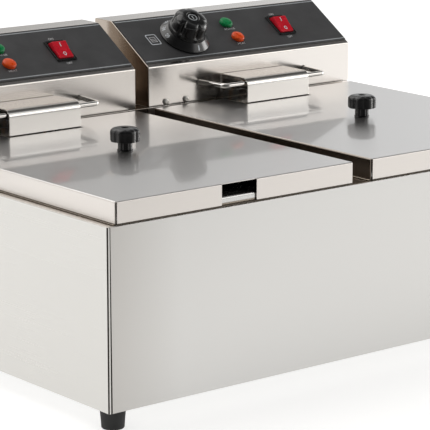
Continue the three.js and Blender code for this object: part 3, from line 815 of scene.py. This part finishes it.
def build_shell(side, left):
    y0, y1, z0, z1 = HEAD_Y0, HEAD_Y1, HEAD_Z0, HEAD_Z1
    tan = math.tan(SLOPE)
    corner_z = SLOPE_Z - (SLOPE_Y - y0) * tan
    corner_y = SLOPE_Y + (z1 - SLOPE_Z) / tan
    outline = [(y0, z0), (y1, z0), (y1, z1), (corner_y, z1), (y0, corner_z)]
    p = rounded(outline, (1.0, 1.0, 1.0, 3.0, 2.6), 6)   # each more than the caps' inset below
    steps = ((0.0, 0.8), (0.12, 0.42), (0.4, 0.14), (0.8, 0.0))
    rings = [[(left + e, q[0], q[1]) for q in inset(p, i)] for e, i in steps]
    rings += [[(left + HEAD_W - e, q[0], q[1]) for q in inset(p, i)] for e, i in reversed(steps)]
    shell = make(f"head_shell_{side}_sheet", *loft(rings), "head")
    t = 1.2
    inner = [(y0 + t, z0 - 9), (y1 + 9, z0 - 9), (y1 + 9, z1 - t), (corner_y, z1 - t), (y0 + t, corner_z - 0.9)]
    slot = [(y0 - 4, 202), (y0 + 4, 202), (y0 + 4, 212), (y0 - 4, 212)]   # for the element's legs
    tools = [make("tool", *along_x(inner, left + t, left + HEAD_W - t), "head"),
             make("tool", *along_x(slot, left + MID - 20, left + MID + 20), "head")]
    for sx in (-1, 1):
        drill = facing(-1, left + MID + GUARD_AT[side] + sx * HANGER_X, y0, HANGER_Z)
        tools.append(make("tool", *placed(turned([(0, -5), (3.1, -5), (3.1, 5), (0, 5)], 32), drill), "head"))
    cut(shell, tools)
    piece(shell, f"head_{side}", "casing_steel", f"head_shell_{side}")


def build_back(side, left):
    y = REAR_Y
    turn = facing(-1, left, y + 1.2, 0)
    outer = [(1.5, 196.4), (261.5, 196.4), (261.5, 273.6), (1.5, 273.6)]
    holes = [circle(8, GLAND_X, REAR_Z), circle(5.3, RESET_X, REAR_Z)]
    holes += [rect(26, 1.6, 1.6, 195, 222 + row * 8, 5) for row in range(5)]   # the vents
    cover = plate("cover", outer, holes, 0, 1.2, 0.3, "head", turn)
    screws = []
    for sx, sz in ((10, 205), (253, 205), (10, 264), (253, 264)):
        head = rounded([(0, 0), (3.0, 0), (3.0, 1.0), (1.6, 2.0), (0, 2.1)], (0, 0.1, 0.5, 0.8, 0), 4, closed=False)
        screws.append(cross_head("screw", head, facing(1, left + sx, y + 1.2, sz), 2.1))
    piece(join(f"head_back_cover_{side}_sheet", [cover, *screws]), f"head_{side}", "casing_steel",
          f"head_back_cover_{side}")
    keep(f"head_base_{side}", "hidden")
    keep(f"thermostat_body_{side}", "hidden")
    gland = rounded([(4.2, -10), (7.7, -10), (7.7, 0), (11, 0), (11, 4), (8.6, 5), (8, 11), (4.2, 11)],
                    (0.2, 0.4, 0, 0.5, 0.8, 0.5, 1.4, 0.8), 4)
    at = facing(1, left + GLAND_X, y + 1.5, REAR_Z)
    body = make("gland", *placed(turned(gland, 48, closed=True), at), "gland")
    hexes = []
    for z, r in ((0.1, 10.2), (0.5, 10.8), (3.4, 10.8), (3.9, 10.2)):
        hexes.append([(r * math.cos(PI / 3 * q), r * math.sin(PI / 3 * q), z) for q in range(6)])
    hexnut = make("nut", *placed(loft(hexes), at), "gland")
    cut(hexnut, [make("tool", *placed(turned([(0, -4), (8.4, -4), (8.4, 9), (0, 9)], 32), at), "gland")])
    piece(join(f"cable_gland_{side}_nut", [body, hexnut]), f"head_{side}", "control_black", f"cable_gland_{side}")
    button = rounded([(0, -3), (7, -3), (7, 0), (5, 0), (5, 10.5), (0, 10.5)], (0, 0.3, 0.3, 0, 1.2, 0), 5,
                     closed=False)
    at = facing(1, left + RESET_X, y - 0.3, REAR_Z)
    piece(make(f"reset_button_{side}_plunger", *placed(turned(button, 40), at), "reset"),
          f"reset_{side}", "reset_red", f"reset_button_{side}")


def cross_head(name, profile, at, depth):
    """A screw head with a cross recess, its top towards +Z of the given frame."""
    o = make(name, *placed(turned(profile, 32), at), "screw")
    tools = []
    for turn in (0, PI / 2):
        bar = [round_rect(0.38 - i * 0.12, 1.5 - i * 0.5, 0.05, depth + 0.6 - i * 1.5, n=1) for i in (0, 1)]
        tools.append(make("tool", *placed(loft(bar), at @ Matrix.Rotation(turn + 0.4, 4, "Z")), "screw"))
    return cut(o, tools)


def build_front_fittings(side, left):
    y0 = HEAD_Y0
    head = rounded([(0, -7.6), (1.5, -7.6), (1.5, 0), (3.2, 0), (3.2, 0.9), (1.7, 1.95), (0, 2.0)],
                   (0, 0.2, 0, 0.15, 0.7, 0.9, 0), 5, closed=False)
    for i, x in enumerate(SCREW_XS, 1):
        name = f"wall_screw_{i}_{side}"
        o = cross_head(name + "_head", head, facing(-1, left + x, y0 - 0.3, SCREW_Z), 2.0)
        piece(o, f"head_{side}", "polished_wire", name)
    (_, gy, gz0), (_, rear, gz1) = cad_box(f"element_guard_{side}")
    t = 1.2
    outer = [(gy, gz0), (gy, gz1), (rear, gz1), (rear, 203)]
    inner = [(116.7, 203), (116.7, gz1 - t), (gy + t, gz1 - t), (gy + t, gz0)]
    p = rounded(outer + inner, (0, 7.5, 1.6, 0, 0, 0.4, 6.3, 0), 10)
    m = left + MID + GUARD_AT[side]
    guard = make(f"element_guard_{side}_sheet", *along_x(p, m - 40, m + 40), "guard")
    slot = [(112, 190), (122, 190), (122, 213), (112, 213)]
    cut(guard, [make("tool", *along_x(slot, left + MID - 22, left + MID + 22), "guard")])
    piece(bevel(guard, 0.25, 2, 60), f"head_{side}", "casing_steel", f"element_guard_{side}")
    ends = [[(m + s * HANGER_X, y0 + 7, HANGER_Z), (m + s * HANGER_X, y0 - 2, HANGER_Z), (m + s * 64.5, 81.5, 215.6)]
            for s in (-1, 1)]
    path = rounded(ends[0] + ends[1][::-1], (0, 5, 5.5, 5.5, 5, 0), 9, closed=False)
    piece(make(f"basket_hanger_{side}_wire", *swept(path, 2.4, 24), "wire", 50), f"head_{side}", "polished_wire",
          f"basket_hanger_{side}")
    m = left + MID
    half = ((15, 142, 207), (15, 84, 207), (15, 84, 58), (80, 84, 58), (80, -166, 58), (30, -166, 58), (30, 46, 58))
    loop = [(m - x, y, z) for x, y, z in half] + [(m + x, y, z) for x, y, z in reversed(half)]
    path = rounded(loop, 9.0, 8, closed=False)
    sheath = make("sheath", *swept(path, 3.2, 20), "sheath", 50)
    sleeves = []
    for s in (-1, 1):
        ring = rounded([(3.3, 0), (5.2, 0), (5.2, 8), (3.3, 8)], (0.1, 0.8, 0.8, 0.1), 4)
        sleeve = turned(ring, 28, closed=True)
        sleeves.append(make("sleeve", *placed(sleeve, facing(1, m + s * 15, 121, 207)), "wire"))
    piece(join(f"heating_element_{side}_sheath", [sheath, *sleeves]), f"head_{side}", "element_sheath",
          f"heating_element_{side}")
    tail = swept(rounded([(left + DIAL[0], 163, 230), (left + DIAL[0], 163, 213), (m, 150, 207), (m, 84, 207),
                          (m, 84, 148)], 7, 8, closed=False), 1.2, 12)
    tip = rounded([(0, 80), (3, 80), (3, 150), (1.2, 152), (0, 152)], (0, 2.2, 1.5, 0.5, 0), 6, closed=False)
    bulb = placed(turned(tip, 24), Matrix.Translation((m, 84, 0)))
    piece(make(f"thermostat_bulb_{side}_copper", *merged([tail, bulb]), "copper", 50), f"head_{side}", "bulb_copper",
          f"thermostat_bulb_{side}")


# ---- controls on the slope
def label(body, size, x, y, z, matrix, ink="white", turn=0.0):
    """A printed generic word or number, as a thin film."""
    cu = bpy.data.curves.new("label", "FONT")
    cu.body, cu.size, cu.align_x, cu.align_y = body, size * MM, "CENTER", "CENTER"
    cu.extrude, cu.resolution_u = 0.05 / 2 * MM, 3
    me = from_curve("label", cu)
    me.transform(in_metres(matrix @ Matrix.Translation((x, y, z)) @ Matrix.Rotation(turn, 4, "Z")))
    finish_with(me, ink)
    return new_object("label", me)


def printed(outline, z0, z1, ink, matrix, holes=()):
    """A printed mark, as a thin film between two heights."""
    return plate("mark", outline, holes, z0, z1, 0.0, ink, matrix)


def build_panel(side, left):
    m = panel_matrix(left)
    top = PANEL_TOP
    holes = [circle(5.3, *DIAL), circle(5.1, LAMP_X, LAMP_POWER), circle(5.1, LAMP_X, LAMP_HEAT),
             rect(9.8, 13.4, 0.6, *SWITCH, 3)]
    outer = rect(HEAD_W / 2 - 1, PANEL_LEN / 2, 0.8, HEAD_W / 2, PANEL_LEN / 2, 4)
    film = plate(f"control_panel_{side}_film", outer, holes, 0.3, top, 0.12, "film", m)
    z0, z1 = top + 0.005, top + 0.06
    prints = []
    for s0, s1 in ((1.7, 2.8), (PANEL_LEN - 2.8, PANEL_LEN - 1.7)):
        line = [(1.4, s0), (HEAD_W - 1.4, s0), (HEAD_W - 1.4, s1), (1.4, s1)]
        prints.append(printed(line, z0, z1, "silver", m))
    # a small generic pictogram: a tank in a frame, with two level lines
    prints.append(printed(rect(6.3, 7.8, 2.0, 30, 33), z0, z1, "white", m,
                          [rect(5.4, 6.9, 1.3, 30, 33)]))
    for bx, by, hx, hy in ((30, 36.4, 3.4, 0.35), (30, 29.4, 3.4, 0.35), (27.0, 32.9, 0.35, 3.2),
                           (33.0, 32.9, 0.35, 3.2), (30, 33.6, 2.2, 0.3), (30, 31.6, 2.2, 0.3)):
        prints.append(printed(rect(hx, hy, 0.1, bx, by, 1), z0, z1, "grey", m))
    words = (("POWER", LAMP_X - 0.2, 35.6), ("HEAT", LAMP_X - 0.3, 12.4), ("ON", SWITCH[0], 50.6),
             ("OFF", SWITCH[0] + 0.2, 14.0))
    for body, x, s in words:
        prints.append(label(body, 3.9, x, s, top + 0.03, m, "grey"))
    piece(film, f"head_{side}", "panel_black", f"control_panel_{side}")
    piece(join(f"panel_print_{side}", prints), f"head_{side}", "panel_black")


def build_dial(side, left):
    m = panel_matrix(left) @ Matrix.Translation((*DIAL, 0))
    profile = rounded([(0.02, 1.3), (26.1, 1.3), (26.3, 2.9), (19.8, 9.2), (0.02, 9.2)], (0, 0.3, 0.5, 0.5, 0), 5,
                      closed=False)
    skirt = make("skirt", *placed(turned(profile, 120), m), "black", 30)
    # radius, height and how lobed
    grip = ((0.02, 8.6, 0), (19.3, 8.6, 0), (19.4, 9.6, 0), (19.1, 12.4, 0), (18.7, 13.2, 0.3), (18.4, 14.2, 0.8),
            (18.1, 18, 1.0), (17.8, 22.0, 1.0), (17.4, 23.4, 0.95), (16.4, 25.0, 0.85), (14.6, 26.6, 0.6),
            (12.4, 27.5, 0.35), (10.0, 27.95, 0.1), (7.2, 28.0, 0.0), (6.6, 27.6, 0), (6.4, 26.9, 0), (0.02, 26.9, 0))
    rings = []
    for rad, z, lobe in grip:
        rings.append(polar(lambda a: rad - lobe * 3.0 * (1 - abs(math.cos(3 * (a + math.radians(5))))) ** 2.6, z, 180))
    body = make("grip", *placed(loft(rings), m), "black", 32)
    marks = [printed(circle(5.0, n=64), 26.92, 27.0, "silver", m, [circle(4.0, n=64)]),
             printed(rect(0.5, 2.6, 0.1, 0, 0, 1), 26.92, 27.0, "silver", m)]
    tilt = math.atan2(9.2 - 2.9, 26.3 - 19.8)

    def on_cone(deg):
        """A frame on the middle of the skirt's cone, deg round from the dial's right."""
        return (m @ Matrix.Rotation(math.radians(deg), 4, "Z") @ Matrix.Translation((23.05, 0, 6.05)) @
                Matrix.Rotation(tilt, 4, "Y") @ Matrix.Rotation(PI / 2, 4, "Z"))

    for text, deg in (("60", 180), ("90", 153), ("120", 124), ("150", 94), ("180", 64), ("190", 36)):
        marks.append(label(text, 5.4, 0, 0, 0.06, on_cone(deg), "white", PI))
    marks.append(printed(rect(0.7, 2.8, 0.2, 0, 0, 2), 0.03, 0.1, "white", on_cone(-87)))
    piece(join(f"thermostat_knob_{side}_moulding", [skirt, body, *marks]), f"dial_{side}", "control_black",
          f"thermostat_knob_{side}")


def build_lamps(side, left):
    m = panel_matrix(left)
    z0 = PANEL_TOP + 0.3
    for name, s, colour in (("power_lamp", LAMP_POWER, "green"), ("heat_lamp", LAMP_HEAT, "orange")):
        p = rounded([(0.02, -14.9), (4.8, -14.9), (4.8, z0), (6.8, z0), (6.75, z0 + 2.5), (5.4, z0 + 3.5),
                     (2.8, z0 + 4.05), (0.02, z0 + 4.2)], (0, 0.4, 0.0, 0.25, 0.9, 1.6, 3, 0), 6, closed=False)
        part = placed(turned(p, 56), m @ Matrix.Translation((LAMP_X, s, 0)))
        o = make(f"{name}_{side}_lens", *part, colour, 40)
        piece(o, f"head_{side}", f"lamp_{colour}", f"{name}_{side}")


def build_switch(side, left):
    m = panel_matrix(left) @ Matrix.Translation((*SWITCH, 0))
    z0, rim = PANEL_TOP + 0.3, 2.6
    spec = [(9.4, 13.0, 0.5, -12.6), (9.4, 13.0, 0.5, z0), (11.4, 14.8, 1.2, z0), (11.4, 14.8, 1.2, 1.8),
            (11.15, 14.55, 1.1, 2.4), (10.8, 14.2, 0.9, rim), (9.2, 12.8, 0.6, rim), (8.8, 12.4, 0.4, rim - 0.3),
            (8.7, 12.3, 0.4, rim - 1.2), (8.7, 12.3, 0.4, -11.6)]
    rings = [round_rect(hx, hy, r, z, n=4) for hx, hy, r, z in spec]
    piece(make(f"switch_body_{side}_bezel", *placed(loft(rings), m), "frame"), f"head_{side}", "control_black",
          f"switch_body_{side}")
    p = rounded([(-7, -4.4), (7, -4.4), (11.6, -1), (10.4, 2.6), (7.1, 7.7), (-2, 5.2), (-11.9, 3.6), (-12.0, -1)],
                (1, 1, 1, 1, 0.8, 8, 0.7, 1), 5)
    rocker = bevel(make("rocker", *placed(along_x(p, -8.3, 8.3), m), "red"), 0.5, 3, 60)
    up = math.atan2(7.7 - 5.2, 7.1 + 2)
    down = math.atan2(5.2 - 3.6, 11.9 - 2)
    on_face = m @ Matrix.Translation((0, 3.2, 5.2 + 5.2 * math.tan(up))) @ Matrix.Rotation(up, 4, "X")
    off_face = m @ Matrix.Translation((0, -7.6, 5.2 - 5.6 * math.tan(down))) @ Matrix.Rotation(down, 4, "X")
    bar = printed(rect(0.45, 2.3, 0.2, 0, 0, 2), 0.02, 0.1, "white", on_face)
    outer, inner = ([(hx * q[0], hy * q[1]) for q in circle(1, n=40)] for hx, hy in ((1.75, 2.3), (1.05, 1.55)))
    ring = printed(outer, 0.02, 0.1, "white", off_face, [inner])
    piece(join(f"switch_rocker_{side}_cap", [rocker, bar, ring]), f"rocker_{side}", "rocker_red",
          f"switch_rocker_{side}")


# ---- stage
FRONT_LEFT = (-0.63, -0.74)   # level direction from the object towards the front left
CAMERA_AT, CAMERA_TURN = (-1.3950, -1.74635, 0.6213), (-40.43, 12.36, 0.396)   # azimuth, elevation and roll, degrees


def build_floor():
    me = bpy.data.meshes.new("floor")
    s = 14.0
    me.from_pydata([(-s, -s, 0), (s, -s, 0), (s, s, 0), (-s, s, 0)], [], [(0, 1, 2, 3)])
    m, n, sh, where = new_material("floor_paper", (0.90, 0.90, 0.90), 0.9)
    n.link(n.ramp(n.noise(where, 2.0, 2.0, 0.5), ((0.3, 0.59), (0.7, 0.61))), sh.inputs["Base Color"])
    # painted light: the paper glows, strongest round the object, which lifts the shadow under it, and the glow falls
    # away towards the front left, outside the camera's view
    away = n.slant(n.axes(where), *FRONT_LEFT)
    n.link(n.ramp(away, ((0.32, (0.70, 0.697, 0.69)), (0.95, (0.22, 0.218, 0.212)))), sh.inputs["Emission Color"])
    sh.inputs["Emission Strength"].default_value = 1.0
    me.materials.append(m)
    floor = new_object("floor", me)


def build_world():
    """A white studio, darker behind the camera and over to the right, which the steel reflects."""
    world = bpy.data.worlds.new("studio")
    bpy.context.scene.world = world
    world.use_nodes = True
    w = Nodes(world.node_tree)
    direction = w.add("ShaderNodeTexCoord").outputs["Generated"]
    axes = w.axes(direction)
    height = w.ramp(axes["Z"], ((0.0, 0.92), (0.30, 1.0), (0.60, 0.88), (1.0, 0.62)))
    sweep = w.ramp(w.math("ADD", w.slant(axes, 0.38, -0.325), 0.5),
                   ((0.0, (1.0, 0.985, 0.96)), (0.30, (0.95, 0.935, 0.91)), (0.40, (0.53, 0.525, 0.515)),
                    (0.44, (0.50, 0.495, 0.485)), (0.53, (0.84, 0.845, 0.85)), (1.0, (0.95, 0.94, 0.925))))
    dark = w.ramp(w.slant(axes, *FRONT_LEFT), ((0.06, 1.0), (0.14, 0.98), (0.20, 0.58), (0.27, 0.44), (0.50, 0.22),
                                               (0.80, 0.12)))
    toward = w.add("ShaderNodeVectorMath", operation="DOT_PRODUCT")   # a black flag, overhead on the right
    w.link(direction, toward.inputs[0])
    toward.inputs[1].default_value = (0.64, -0.03, 0.768)
    flag = w.ramp(toward.outputs["Value"], ((0.89, 1.0), (0.955, 0.14)))
    back = world.node_tree.nodes["Background"]
    w.link(w.multiply(w.multiply(w.multiply(sweep, height), dark), flag), back.inputs["Color"])
    back.inputs["Strength"].default_value = 1.0


def build_lights():
    for name, loc, aim, size, power, colour in (
            ("top_box", (-0.4, 1.3, 2.6), (0, 0, 0.1), (3.0, 2.2), 30, (1, 0.985, 0.965)),
            ("left_box", (-2.8, 0.9, 1.3), (0, 0, 0.15), (1.6, 1.4), 9, (1, 0.98, 0.955)),
            ("right_strip", (2.4, -0.45, 0.6), (0.1, 0, 0.2), (0.9, 0.8), 11, (1, 0.985, 0.97)),
            ("front_box", (2.1, -2.5, 1.5), (0, 0, 0.12), (1.8, 1.2), 8, (1, 0.975, 0.95))):
        light = bpy.data.lights.new(name, "AREA")
        light.shape, light.size, light.size_y = "RECTANGLE", *size
        light.energy, light.color = power, colour
        o = new_object(name, light)
        o.location = loc
        o.rotation_euler = (Vector(aim) - Vector(loc)).to_track_quat("-Z", "Y").to_euler()


def build_camera():
    az, el, roll = (math.radians(a) for a in CAMERA_TURN)
    back = Vector((math.sin(az) * math.cos(el), -math.cos(az) * math.cos(el), math.sin(el)))
    right = Vector((math.cos(az), math.sin(az), 0))
    up = back.cross(right)
    x = right * math.cos(roll) + up * math.sin(roll)
    y = up * math.cos(roll) - right * math.sin(roll)
    cam = bpy.data.cameras.new("camera")
    cam.lens, cam.sensor_width = 201.1, 36.0
    cam.shift_x, cam.shift_y = -0.178, -0.0506
    cam.clip_end = 60
    o = new_object("camera", cam)
    o.matrix_world = Matrix((*((x[i], y[i], back[i], CAMERA_AT[i]) for i in range(3)), (0, 0, 0, 1)))
    bpy.context.scene.camera = o
    bpy.context.scene.view_settings.view_transform = "Standard"


for build in (build_floor, build_world, build_lights, build_camera):
    build()
build_casing()
for side_name, sign in SIDES:
    for build in (build_tank, build_basket, build_lid, build_lid_knob):
        build(side_name, sign)
    head_left = sign * HEAD_X - HEAD_W / 2
    for build in (build_shell, build_back, build_front_fittings, build_panel, build_dial, build_lamps, build_switch):
        build(side_name, head_left)
